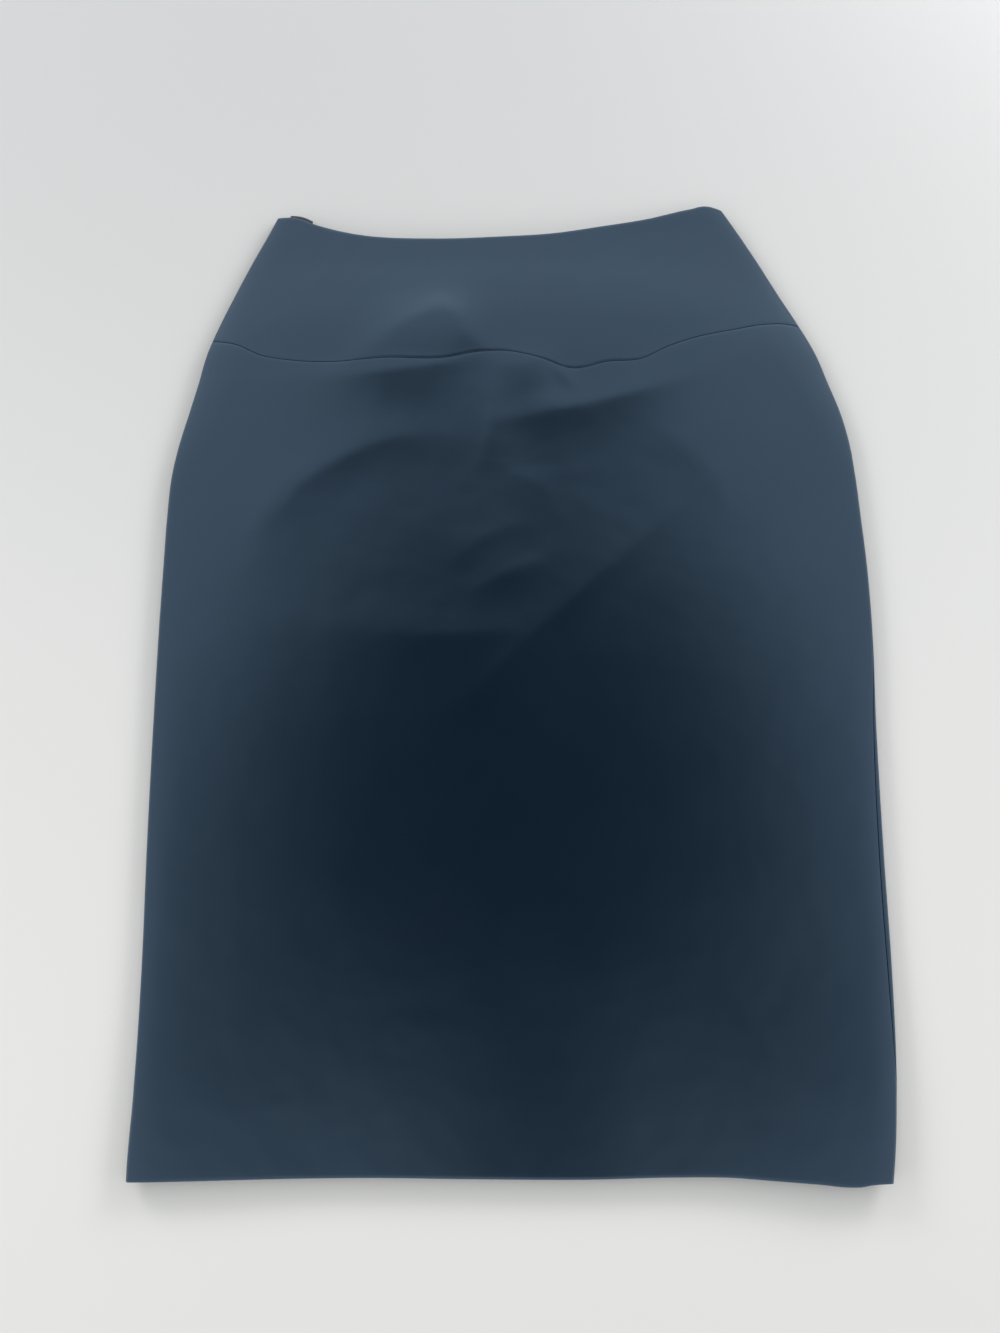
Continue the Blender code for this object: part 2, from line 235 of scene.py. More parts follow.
FINE_FOLDS = (
    ("yoke_crest",  -0.0620, 0.5640, 12.0, 0.028, 0.020, 0.0006, 0.000, 1.70),
    ("belly_end",   -0.1630, 0.4380, 52.0, 0.034, 0.014, 0.0005, -0.004, 1.20),
    ("curl_pocket",  0.0100, 0.5300, 12.0, 0.017, 0.012, 0.0014, 0.002, 2.80),
    ("curl_rim",     0.0360, 0.5190, -50.0, 0.012, 0.005, 0.0005, -0.002, 1.00),
    ("curl_shelf",   0.0290, 0.5030, 5.0, 0.018, 0.006, 0.0003, 0.000, 2.00),
    ("pull_left",   -0.0160, 0.4900, 84.0, 0.032, 0.005, 0.0004, 0.002, 2.00),
    ("pull_right",   0.0080, 0.4480, -30.0, 0.016, 0.010, 0.0003, 0.000, 1.60),
    ("upper_crease", -0.0200, 0.4080, 26.0, 0.028, 0.012, 0.0003, -0.002, 1.20),
    ("lower_crease", -0.0070, 0.3830, 24.0, 0.024, 0.012, 0.0005, -0.002, 1.10),
    ("smile_right",  0.0350, 0.3620, 42.0, 0.084, 0.022, 0.0007, 0.000, 0.28),
    ("pull_crease", -0.0060, 0.3150, 42.0, 0.030, 0.012, 0.0005, 0.000, 0.50),
    ("waist_edge",  -0.0150, 0.6400, 3.0, 0.120, 0.022, 0.0005, 0.000, 1.00),
    ("hem_corner",   0.1620, 0.0700, -52.0, 0.045, 0.012, 0.0003, 0.004, 0.80),
    ("hip_left",    -0.2050, 0.5000, 70.0, 0.040, 0.012, 0.0004, 0.003, 1.00),
    ("hip_right",    0.2020, 0.5100, -66.0, 0.045, 0.012, 0.0004, -0.003, 1.00),
)

FOLD_CREST = 1.4          # 2 is a round crest, and less is a keener one
FOLD_ENDS = 2.4           # 2 fades evenly, and more keeps its height further out

# The two hem corners stand off the table, less and less up to "top"
# x       top    reach  height
CORNER_LIFTS = (
    (-0.240, 0.160, 0.140, 0.0020),
    (0.232, 0.160, 0.150, 0.0030),
)


def corner_lift(x, up):
    """How far the cloth stands off the table near the hem's corners."""
    total = 0.0 * x
    for corner_x, top, reach, height in CORNER_LIFTS:
        near_x = 1 - ease(np.abs(x - corner_x) / reach)
        near_hem = 1 - ease(up / top)
        total = total + height * near_x * near_hem
    return total


def fold_height(x, up):
    """Sum of the folds at a place on the front."""
    total = 0.0 * x
    for _, fold_x, fold_up, angle, half_length, half_width, height, bend, steep in FOLDS + FINE_FOLDS:
        cosine = math.cos(math.radians(angle))
        sine = math.sin(math.radians(angle))
        lengthwise = (x - fold_x) * cosine + (up - fold_up) * sine
        sideways = (up - fold_up) * cosine - (x - fold_x) * sine
        sideways = sideways - bend * (lengthwise / half_length) ** 2
        width = np.where(sideways < 0, half_width * steep, half_width)
        fall = np.abs(lengthwise / half_length) ** FOLD_ENDS + np.abs(sideways / width) ** FOLD_CREST
        total = total + height * np.exp(-fall)
    return total


print(len(FOLDS), "main folds and", len(FINE_FOLDS), "fine ones")

# %% [markdown]
# ## The flattened tube
# At any height the skirt is one closed ring: flat back, round left roll, crowned front, round
# right roll. A place on the cloth is then two lengths that a tape measure would give, the way
# round the ring and the height up the skirt, and this function turns them into a point.

# %% The ring of the skirt
CROWN_POWER = 2.6         # flatter in the middle than a round arch
EDGE_RISE = 0.0009        # the soft rise of the front next to its side edges
EDGE_RISE_WIDTH = 0.0060
FOLD_TAPER = 0.012        # distance from an edge over which the folds grow in
SQUARE_ROLL = 3.0         # power of the side roll's curve: 2 is round, as at the thick hem


def half_ring_length(up):
    """From one side edge over the front to the other."""
    width = along(SECTIONS, 2, up) - along(SECTIONS, 1, up)
    return width - 2 * ROLL_RADIUS + 2 * QUARTER_ROLL


def ring_point(path, up, sunk):
    """Place on the outside of the flattened tube at one height. path starts at the left edge, runs
    over the front to the right edge and back under the skirt. sunk lowers the front's surface."""
    left = along(SECTIONS, 1, up)
    right = along(SECTIONS, 2, up)
    half_ring = half_ring_length(up)
    on_front = path <= half_ring
    over = np.where(on_front, path, 2 * half_ring - path)
    from_edge = np.minimum(over, half_ring - over)
    turn = np.minimum(from_edge, QUARTER_ROLL) / ROLL_RADIUS
    power = 2.0 + (SQUARE_ROLL - 2.0) * ease((up - HEM_DEPTH) / HEM_DEPTH)
    fuller = (np.cos(turn) ** power + np.sin(turn) ** power) ** (-1 / power)
    inward = ROLL_RADIUS * (1 - fuller * np.cos(turn)) + np.maximum(from_edge - QUARTER_ROLL, 0.0)
    x = np.where(over < half_ring / 2, left + inward, right - inward)
    across = (x - left) / (right - left)
    crown = along(SECTIONS, 3, up) * (1 - np.abs(2 * across - 1) ** CROWN_POWER)
    edge_rise = EDGE_RISE * (1 - np.exp(-inward / EDGE_RISE_WIDTH))
    folds = ease(inward / FOLD_TAPER) * fold_height(x, up)
    relief = np.maximum(crown + edge_rise + folds, LAYER_GAP - ROLL_RADIUS)
    half_height = ROLL_RADIUS * fuller * np.sin(turn)
    front_z = ROLL_RADIUS + half_height + relief - sunk * np.sin(turn)
    back_z = ROLL_RADIUS - half_height
    z = np.where(on_front, front_z, back_z) + corner_lift(x, up)
    return np.stack([x, up - OVERALL_LENGTH / 2, z], axis=-1)


print(f"half ring at the hip: {half_ring_length(np.array(HIP_UP)) * 1000:.0f} mm")

# %% [markdown]
# ## Where the rows and columns of a piece fall
# A cut edge, a seam and the side roll need points half a millimetre apart, and the middle of a
# panel needs one every 3 mm. So a plan keeps the points next to an edge at fixed distances from
# it, and lets the rest share what is left, which works at every width of the skirt.

# %% Plans for rows and columns
EDGE_STEPS = (0.0, 0.0006, 0.0012, 0.0018, 0.0025, 0.0034, 0.0046, 0.0064, 0.0090)
ROLL_STEPS = tuple(0.0005 * step for step in range(11)) + (0.0062, 0.0078, 0.0100)
SPACING = 0.0031


def share_out(start_steps, end_steps, length):
    """Each point's share of the way from one edge to the other, and what is added to that way."""
    inner = round((length - start_steps[-1] - end_steps[-1]) / SPACING)
    share = np.arange(1, inner) / inner
    shares = np.concatenate([np.zeros(len(start_steps)), share, np.ones(len(end_steps))])
    blend = start_steps[-1] * (1 - share) - end_steps[-1] * share
    added = np.concatenate([start_steps, blend, -np.array(end_steps[::-1])])
    return shares, added


def between(start, end, plan):
    """The plan laid out from start to end."""
    shares, added = plan
    return start + (end - start) * shares + added


trial = between(0.0, 0.100, share_out(EDGE_STEPS, EDGE_STEPS, 0.100))
print(f"a 100 mm edge takes {len(trial)} points, the first {trial[1] * 1000:.1f} mm in")

# %% [markdown]
# ## Seams and edges
# Along the yoke seam both pieces turn down into the sewn line, which a press leaves as a shallow
# valley. The thread pulls a little more in some places than in others, so the valley's depth
# wanders. At the waist and the hem the cloth is folded under, and rolls over instead of ending in
# a cut. These are the depths by which the surface is lowered.

# %% Valleys at seams, rolls at the waist and the hem
SEAM_DIP = 0.00014
SEAM_DIP_WIDTH = 0.0010
SEAM_PUCKER = 0.25                # share by which the valley's depth wanders
PUCKER_LENGTHS = (0.0110, 0.0173, 0.0470)
SIDE_SEAM_DIP = 0.0001
SIDE_SEAM_DIP_WIDTH = 0.0012
EDGE_ROLL = 0.0003
EDGE_ROLL_WIDTH = 0.0008


def valley(distance, depth, width):
    return depth * np.exp(-((distance / width) ** 2))


def pucker(path):
    """Around 1, wandering along a seam."""
    waves = sum(np.sin(2 * math.pi * path / length) for length in PUCKER_LENGTHS)
    return 1 + SEAM_PUCKER * waves / len(PUCKER_LENGTHS)


print(f"seam valley {SEAM_DIP * 1000:.2f} mm deep, edge roll {EDGE_ROLL * 1000:.1f} mm")

# %% [markdown]
# ## One cut piece
# A piece starts as Blender's flat grid with one square for each step of its two plans. Each point
# of the grid then goes to its place on the ring. The grid keeps two more things for the material:
# a UV map in real metres, so that the weave follows the cloth round the roll, and how near each
# point is to a pressed edge, where the colour turns a lighter navy: real rubbed wear, and a
# painted sheen for the shine that pressed suiting takes on.

# %% Lay a grid of cloth over the ring
# How far from an edge the rubbed wear and the painted sheen reach
EDGE_WEAR_AND_SHEEN_WIDTH = 0.0030
SETTLING_ROUNDS = 4       # for the height and the width at that height to agree
PIECES = {
    # node: (on the front, lower line, upper line, end sewn at the yoke seam)
    "front_panel": (True, HEM_LINE, FRONT_SEAM_LINE, "high"),
    "front_yoke": (True, FRONT_SEAM_LINE, FRONT_WAIST_LINE, "low"),
    "back_panel": (False, HEM_LINE, BACK_SEAM_LINE, "high"),
    "back_yoke": (False, BACK_SEAM_LINE, BACK_WAIST_LINE, "low"),
}


def panel_places(is_front, low_line, high_line, seam_at, row_plan, column_plan):
    """For each row and column: the way round the ring, the height, the depth that the surface is
    lowered by and how near the place is to an edge."""
    rows = tuple(part[:, None] for part in row_plan)
    columns = tuple(part[None, :] for part in column_plan)
    low_gap = SEAM_GAP / 2 if seam_at == "low" else 0.0
    high_gap = SEAM_GAP / 2 if seam_at == "high" else 0.0
    up = rows[0] * OVERALL_LENGTH + 0.0 * columns[0]
    for _ in range(SETTLING_ROUNDS):
        half_ring = half_ring_length(up)
        right_seam = half_ring - np.maximum(along(SIDE_SEAM, 1, up), 0.0)
        if is_front:
            start = SEAM_GAP / 2 + 0.0 * up
            end = right_seam - SEAM_GAP / 2
        else:
            start = right_seam + SEAM_GAP / 2
            end = 2 * half_ring - SEAM_GAP / 2
        path = between(start, end, columns)
        across = np.clip(1 - np.abs(path / half_ring - 1), 0.0, 1.0)
        low = along(low_line, 1, across) + low_gap
        high = along(high_line, 1, across) - high_gap
        up = between(low, high, rows)
    from_seam, from_edge = (high - up, up - low) if seam_at == "high" else (up - low, high - up)
    sunk = valley(from_seam, SEAM_DIP, SEAM_DIP_WIDTH) * pucker(path)
    sunk = sunk + valley(from_edge, EDGE_ROLL, EDGE_ROLL_WIDTH)
    from_right_seam = np.abs(path - right_seam)
    sunk = sunk + valley(from_right_seam, SIDE_SEAM_DIP, SIDE_SEAM_DIP_WIDTH)
    nearest = np.minimum(np.minimum(from_seam, from_edge), np.minimum(path - start, end - path))
    # Near an edge the colour turns a lighter navy: real rubbed wear, and a painted sheen
    wear_and_sheen = np.exp(-nearest / EDGE_WEAR_AND_SHEEN_WIDTH)
    return path, up, sunk, wear_and_sheen


def lay_grid(name, places, uv, wear_and_sheen):
    """A grid with its points moved to the given places."""
    rows, columns = wear_and_sheen.shape
    bpy.ops.mesh.primitive_grid_add(x_subdivisions=columns - 1, y_subdivisions=rows - 1, size=1.0)
    piece = bpy.context.object
    piece.name = name
    mesh = piece.data
    flat = np.empty(len(mesh.vertices) * 3)
    mesh.vertices.foreach_get("co", flat)
    flat = flat.reshape(-1, 3)
    column = np.rint((flat[:, 0] + 0.5) * (columns - 1)).astype(int)
    row = np.rint((flat[:, 1] + 0.5) * (rows - 1)).astype(int)
    mesh.vertices.foreach_set("co", places[row, column].ravel())
    corners = np.empty(len(mesh.loops), np.int32)
    mesh.loops.foreach_get("vertex_index", corners)
    mesh.uv_layers.active.name = "cloth"
    mesh.uv_layers.active.data.foreach_set("uv", uv[row, column][corners].ravel())
    worn_and_sheen = mesh.attributes.new("edge_wear_and_sheen", "FLOAT", "POINT")
    worn_and_sheen.data.foreach_set("value", wear_and_sheen[row, column])
    mesh.update()
    return piece, row


print("pieces to lay:", ", ".join(PIECES))

# %% [markdown]
# ## Thickness
# Solidify gives the sheet its inner side, and a vertex group makes it thicker where the hem is
# folded up inside. Bevel then rounds the rim, because folded suiting has no sharp corner. Both are
# applied, so the piece is a plain closed mesh.

# %% Give a piece its thickness and rounded rim
RIM_ROUND = 0.00050
RIM_SEGMENTS = 3
RIM_ANGLE = math.radians(50)      # sharper edges than this are rounded


def thicken(piece, thickness, thin_points=(), thin_share=1.0, rim=RIM_ROUND):
    """Turns a sheet into a closed wall under its surface."""
    group = piece.vertex_groups.new(name="thickness")
    group.add(range(len(piece.data.vertices)), 1.0, "REPLACE")
    if len(thin_points):
        group.add([int(point) for point in thin_points], thin_share, "REPLACE")
    wall = piece.modifiers.new("wall", "SOLIDIFY")
    wall.thickness = thickness
    wall.offset = -1.0
    wall.vertex_group = group.name
    bevel = piece.modifiers.new("rim", "BEVEL")
    bevel.width = rim
    bevel.segments = RIM_SEGMENTS
    bevel.limit_method = "ANGLE"
    bevel.angle_limit = RIM_ANGLE
    bpy.context.view_layer.objects.active = piece
    bpy.ops.object.modifier_apply(modifier=wall.name)
    bpy.ops.object.modifier_apply(modifier=bevel.name)
    piece.vertex_groups.clear()
    piece.data.shade_smooth()


print(f"cloth {CLOTH * 1000:.1f} mm, {TURNED_HEM * 1000:.1f} mm at the turned hem")

# %% [markdown]
# ## The four pieces of suiting
# A front yoke, a front panel, a back yoke and a back panel, each its own piece with a seam's gap
# round it. The back's side columns are as close as the front's, because on the right it comes
# round the roll and shows.

# %% Make the suiting pieces
suiting_pieces = {}
for node, (is_front, low_line, high_line, seam_at) in PIECES.items():
    middle_height = float(along(high_line, 1, 0.5) - along(low_line, 1, 0.5))
    middle_width = float(half_ring_length(along(low_line, 1, 0.5)))
    row_plan = share_out(EDGE_STEPS, EDGE_STEPS, middle_height)
    column_plan = share_out(ROLL_STEPS, ROLL_STEPS, middle_width)
    path, up, sunk, wear_and_sheen = panel_places(is_front, low_line, high_line, seam_at, row_plan, column_plan)
    piece, row = lay_grid(node + "_cloth", ring_point(path, up, sunk), np.stack([path, up], -1), wear_and_sheen)
    if low_line is HEM_LINE:
        above_hem = np.flatnonzero(up[:, 0][row] - up[0, 0] > HEM_DEPTH)
        thicken(piece, TURNED_HEM, above_hem, CLOTH / TURNED_HEM)
    else:
        thicken(piece, CLOTH)
    suiting_pieces[node] = piece
    triangles = sum(len(face.vertices) - 2 for face in piece.data.polygons)
    print(f"{piece.name}: {path.shape[0]} rows, {path.shape[1]} columns, {triangles} triangles")

# %% [markdown]
# ## The concealed zip
# The zip lies inside the left side seam, between the two layers. Only the end of its tape shows,
# just past the waist's left corner. Its sizes are those of a short skirt zip, and the slider is
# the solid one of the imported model.

# %% Zip sizes
WAIST_CORNER_UP = 0.6483  # the waist's left corner, where the zip ends
ZIP_LENGTH = 0.195
TAPE_INSET = 0.0080       # the tape's outer edge, inside the skirt's left edge
TAPE_WIDTH = 0.0180
TAPE = 0.0010
TAPE_OVER_BACK = 0.0003   # clear of the back layer under it
TAPE_END_OVER = 0.0032    # the tape's end stands this far past the waist edge
SLIDER_BELOW_WAIST = 0.0150       # the slider's middle, under the waist's corner
SLIDER_LENGTH = 0.0080
PULL_LENGTH = 0.0150
TAPE_TOP = CLOTH + TAPE_OVER_BACK + TAPE

print(f"the tape's face is {TAPE_TOP * 1000:.1f} mm over the table")

# %% [markdown]
# ## Zip tape
# A tape is cut straight and sewn along the left edge, so here it bends with that edge and keeps
# its width. It is laid on the same kind of grid as the suiting, with few rows, because it is flat.

# %% Zip tape
TAPE_ROWS = 80
TAPE_COLUMNS = 15
TAPE_RIM = 0.00015

widths = np.linspace(0.0, TAPE_WIDTH, TAPE_COLUMNS)[None, :]
top_left = along(SECTIONS, 1, WAIST_CORNER_UP)
top_across = (TAPE_INSET + widths) / (along(SECTIONS, 2, WAIST_CORNER_UP) - top_left)
top_up = along(FRONT_WAIST_LINE, 1, top_across) + TAPE_END_OVER
tape_up = top_up - ZIP_LENGTH * (1 - np.linspace(0.0, 1.0, TAPE_ROWS)[:, None])
tape_x = along(SECTIONS, 1, tape_up) + TAPE_INSET + widths
tape_places = np.stack([tape_x, tape_up - OVERALL_LENGTH / 2, TAPE_TOP + 0.0 * tape_up], axis=-1)
tape_uv = np.stack([widths + 0.0 * tape_up, tape_up], axis=-1)
zip_tape, _ = lay_grid("zip_tape_cloth", tape_places, tape_uv, 0.0 * tape_up)
thicken(zip_tape, TAPE, rim=TAPE_RIM)
print(f"{zip_tape.name}: {TAPE_WIDTH * 1000:.0f} by {ZIP_LENGTH * 1000:.0f} mm")

# %% [markdown]
# ## Zip coil
# The teeth of a nylon zip are two wound wires whose turns lock into each other. A turn is a small
# flattened ring, so one is made from a torus and copied up the tape, first to one side of the
# middle and then to the other. The closed coil ends under the pull.

# %% One turn of the coil, repeated
COIL_WIDTH = 0.0030       # of one turn, across the tape
COIL_HEIGHT = 0.0010
COIL_PITCH = 0.0007       # between a turn and the next one, on the other side
COIL_APART = 0.0009       # each turn's middle, from the middle of the tape
COIL_OVER_TAPE = 0.00005
COIL_FROM = 0.0100        # where the coil starts, above the tape's lower end
COIL_BELOW_PULL = 0.0012
WIRE_RADIUS = 0.00022
TURN_SEGMENTS = 12        # few, because there are some two hundred turns
WIRE_SIDES = 5

bpy.ops.mesh.primitive_torus_add(major_segments=TURN_SEGMENTS, minor_segments=WIRE_SIDES,
                                 major_radius=COIL_WIDTH / 2, minor_radius=WIRE_RADIUS,
                                 rotation=(math.pi / 2, 0.0, 0.0))
one_turn = bpy.context.object
one_turn.scale = (1.0, COIL_HEIGHT / COIL_WIDTH, 1.0)
bpy.ops.object.transform_apply(location=False, rotation=True, scale=True)
one_turn.data.shade_smooth()
coil_low = float(tape_up[0, TAPE_COLUMNS // 2]) + COIL_FROM
pull_end = WAIST_CORNER_UP - SLIDER_BELOW_WAIST - SLIDER_LENGTH / 2 - PULL_LENGTH
turn_ups = np.arange(coil_low, pull_end - COIL_BELOW_PULL, COIL_PITCH)
turns = []
for number, turn_up in enumerate(turn_ups):
    turn = one_turn.copy()
    turn.data = one_turn.data.copy()
    bpy.context.collection.objects.link(turn)
    side = COIL_APART if number % 2 else -COIL_APART
    middle = float(along(SECTIONS, 1, turn_up)) + TAPE_INSET + TAPE_WIDTH / 2
    height = TAPE_TOP + COIL_OVER_TAPE + COIL_HEIGHT / 2 + WIRE_RADIUS
    turn.location = (middle + side, turn_up - OVERALL_LENGTH / 2, height)
    turns.append(turn)
bpy.ops.object.select_all(action="DESELECT")
bpy.data.objects.remove(one_turn)
for turn in turns:
    turn.select_set(True)
zip_coil = turns[0]
zip_coil.name = "zip_coil"
bpy.context.view_layer.objects.active = zip_coil
bpy.ops.object.join()
bpy.ops.object.transform_apply(location=True, rotation=True, scale=True)
print(f"{len(turns)} turns, {len(zip_coil.data.polygons) * 2} triangles")

# %% [markdown]
# ## Materials
# Screens store colours as sRGB and shaders add up light in linear values, so every colour is
# written as a hex value and turned into linear by one function. Another one adds a node with its
# settings, its values and what feeds it.

# %% Helpers for materials
def linear(hex_colour):
    """An sRGB hex colour as linear red, green, blue and alpha."""
    values = [int(hex_colour[at:at + 2], 16) / 255 for at in (1, 3, 5)]
    return tuple(v / 12.92 if v <= 0.04045 else ((v + 0.055) / 1.055) ** 2.4 for v in values) + (1.0,)


def add_node(tree, kind, settings=(), values=(), feeds=()):
    """A shader node with its own options, its sockets' values and the outputs that feed sockets."""
    node = tree.nodes.new(kind)
    for option, value in dict(settings).items():
        setattr(node, option, value)
    for socket, value in dict(values).items():
        node.inputs[socket].default_value = value
    for socket, output in dict(feeds).items():
        tree.links.new(output, node.inputs[socket])
    return node


def new_material(name):
    """A material with only its shader and output, and the tree that they are in."""
    material = bpy.data.materials.new(name)
    material.use_nodes = True
    tree = material.node_tree
    shader = tree.nodes["Principled BSDF"]
    return material, tree, shader


print("navy as linear light:", [round(value, 4) for value in linear("#1c2a3c")[:3]])

# %% [markdown]
# ## Navy suiting
# The cloth is a plain woven crepe suiting: worsted wool with polyester, dyed deep navy and pressed
# smooth. The dye is nearly black, and what the eye sees is a low bluish sheen that the room gives
# it, so every soft fold shows as a lighter or darker patch and not as a shadow. Its weave would
# scatter a dull cloth's light evenly, which is why the sheen is the shader's own reflection with a
# blue tint. The yarns lie 0.4 mm apart, finer than a picture of the whole skirt can show, so the
# weave is drawn at twice that. Pressed cloth also keeps faint waves that are no folds of their own.

# %% Suiting material
YARN_SPACING = 0.0008     # drawn twice as coarse as the real 0.4 mm, to show close up
PEBBLE_SIZE = 0.0022      # the crepe's uneven twist
CLOUD_SIZE = 0.060        # faint uneven dye and pressing
WAVE_SIZE = 0.028         # pressed cloth is never quite flat
WAVE_HEIGHT = 0.00016
WEAVE_HEIGHT = 0.00012
WEAVE_STRENGTH = 0.12     # a press flattens most of the weave
YARNS_AGAINST_PEBBLES = 0.6
DULLEST = 0.25            # the roughness wanders between these two with the clouds
GLOSSIEST = 0.23
CLOTH_IOR = 1.6           # wool and polyester
NAVY = "#010c17"
NAVY_LIGHT = "#03101e"
# The lighter navy near pressed edges: real rubbed wear, and a painted sheen for their shine
WORN_AND_SHEEN_NAVY = "#111b29"
BLUE_SHEEN = (0.485, 0.725, 1.0, 1.0)


def suiting_material():
    material, tree, shader = new_material("navy_crepe_suiting")
    cloth_uv = add_node(tree, "ShaderNodeUVMap", {"uv_map": "cloth"}).outputs["UV"]
    apart = add_node(tree, "ShaderNodeSeparateXYZ", feeds={"Vector": cloth_uv})
    rounds = []
    for direction in ("X", "Y"):
        turned = add_node(tree, "ShaderNodeMath", {"operation": "MULTIPLY"},
                          {1: math.pi / YARN_SPACING}, {0: apart.outputs[direction]})
        wave = add_node(tree, "ShaderNodeMath", {"operation": "SINE"}, feeds={0: turned.outputs[0]})
        rounds.append(add_node(tree, "ShaderNodeMath", {"operation": "ABSOLUTE"},
                               feeds={0: wave.outputs[0]}).outputs[0])
    over = add_node(tree, "ShaderNodeTexChecker", values={"Scale": 1 / YARN_SPACING},
                    feeds={"Vector": cloth_uv}).outputs["Fac"]
    weave = add_node(tree, "ShaderNodeMix", {"data_type": "FLOAT"},
                     feeds={"Factor": over, "A": rounds[0], "B": rounds[1]}).outputs["Result"]
    pebble = add_node(tree, "ShaderNodeTexNoise", {"noise_dimensions": "2D"},
                      {"Scale": 1 / PEBBLE_SIZE, "Detail": 3.0, "Roughness": 0.6},
                      {"Vector": cloth_uv}).outputs["Fac"]
    clouds = add_node(tree, "ShaderNodeTexNoise", {"noise_dimensions": "2D"},
                      {"Scale": 1 / CLOUD_SIZE, "Detail": 2.0},
                      {"Vector": cloth_uv}).outputs["Fac"]
    grain = add_node(tree, "ShaderNodeMath", {"operation": "MULTIPLY"}, feeds={0: weave, 1: pebble})
    mottle = add_node(tree, "ShaderNodeMath", {"operation": "ADD"},
                      feeds={0: grain.outputs[0], 1: clouds})
    spread = add_node(tree, "ShaderNodeMapRange", values={"From Min": 0.3, "From Max": 1.3},
                      feeds={"Value": mottle.outputs[0]}).outputs["Result"]
    dyed = add_node(tree, "ShaderNodeMix", {"data_type": "RGBA"},
                    {"A": linear(NAVY), "B": linear(NAVY_LIGHT)}, {"Factor": spread})
    # Near pressed edges the colour turns lighter: real rubbed wear, and a painted sheen
    wear_and_sheen = add_node(tree, "ShaderNodeAttribute", {"attribute_name": "edge_wear_and_sheen"}).outputs["Fac"]
    rubbed_and_sheen = add_node(tree, "ShaderNodeMath", {"operation": "MULTIPLY"}, feeds={0: wear_and_sheen, 1: pebble})
    colour = add_node(tree, "ShaderNodeMix", {"data_type": "RGBA"}, {"B": linear(WORN_AND_SHEEN_NAVY)},
                      {"Factor": rubbed_and_sheen.outputs[0], "A": dyed.outputs["Result"]})
    tree.links.new(colour.outputs["Result"], shader.inputs["Base Color"])
    gloss = add_node(tree, "ShaderNodeMapRange",
                     values={"From Min": 0.25, "From Max": 0.75,
                             "To Min": DULLEST, "To Max": GLOSSIEST},
                     feeds={"Value": clouds}).outputs["Result"]
    tree.links.new(gloss, shader.inputs["Roughness"])
    height = add_node(tree, "ShaderNodeMath", {"operation": "MULTIPLY_ADD"},
                      {1: YARNS_AGAINST_PEBBLES}, {0: weave, 2: pebble})
    waves = add_node(tree, "ShaderNodeTexNoise", {"noise_dimensions": "2D"},
                     {"Scale": 1 / WAVE_SIZE, "Detail": 1.5, "Roughness": 0.6},
                     {"Vector": cloth_uv}).outputs["Fac"]
    wavy = add_node(tree, "ShaderNodeBump", values={"Strength": 1.0, "Distance": WAVE_HEIGHT},
                    feeds={"Height": waves}).outputs["Normal"]
    bump = add_node(tree, "ShaderNodeBump",
                    values={"Strength": WEAVE_STRENGTH, "Distance": WEAVE_HEIGHT},
                    feeds={"Height": height.outputs[0], "Normal": wavy})
    tree.links.new(bump.outputs["Normal"], shader.inputs["Normal"])
    shader.inputs["IOR"].default_value = CLOTH_IOR
    shader.inputs["Specular IOR Level"].default_value = 1.0
    shader.inputs["Specular Tint"].default_value = BLUE_SHEEN
    return material


suiting = suiting_material()
print(suiting.name, "has", len(suiting.node_tree.nodes), "nodes")

# %% [markdown]
# ## Zip tape, coil and slider
# The tape is woven polyester, dyed nearly black and ribbed across. The coil is nylon wire of the
# same colour with a soft shine. The slider is a small die cast one with baked enamel.

# %% Tape, coil and slider materials
RIB_SPACING = 0.0012      # drawn coarser than the real 0.5 mm
RIB_HEIGHT = 0.00015
WIRE_UNEVEN = 0.0004      # size of the wire's duller places
PEEL_SIZE = 1 / 1500      # baked enamel's faint orange peel
PEEL_HEIGHT = 0.00005
TAPE_BLACK = "#0d1018"
TAPE_RIB = "#191d28"
COIL_BLACK = "#10131c"
ENAMEL = "#23262b"


def tape_material():
    material, tree, shader = new_material("woven_polyester_tape")
    cloth_uv = add_node(tree, "ShaderNodeUVMap", {"uv_map": "cloth"}).outputs["UV"]
    # At scale 1 a wave texture has 10 / pi bands in a metre
    ribs = add_node(tree, "ShaderNodeTexWave", {"bands_direction": "Y"},
                    {"Scale": math.pi / 10 / RIB_SPACING, "Distortion": 0.5}, {"Vector": cloth_uv})
    colour = add_node(tree, "ShaderNodeMix", {"data_type": "RGBA"},
                      {"A": linear(TAPE_BLACK), "B": linear(TAPE_RIB)},
                      {"Factor": ribs.outputs["Fac"]})
    tree.links.new(colour.outputs["Result"], shader.inputs["Base Color"])
    bump = add_node(tree, "ShaderNodeBump", values={"Strength": 0.6, "Distance": RIB_HEIGHT},
                    feeds={"Height": ribs.outputs["Fac"]})
    tree.links.new(bump.outputs["Normal"], shader.inputs["Normal"])
    shader.inputs["Roughness"].default_value = 0.75
    shader.inputs["Sheen Weight"].default_value = 0.2
    return material


def coil_material():
    material, tree, shader = new_material("dyed_nylon_wire")
    place = add_node(tree, "ShaderNodeTexCoord").outputs["Object"]
    uneven = add_node(tree, "ShaderNodeTexNoise", values={"Scale": 1 / WIRE_UNEVEN, "Detail": 1.0},
                      feeds={"Vector": place}).outputs["Fac"]
    shine = add_node(tree, "ShaderNodeMapRange", values={"To Min": 0.30, "To Max": 0.50},
                     feeds={"Value": uneven})
    tree.links.new(shine.outputs["Result"], shader.inputs["Roughness"])
    shader.inputs["Base Color"].default_value = linear(COIL_BLACK)
    return material


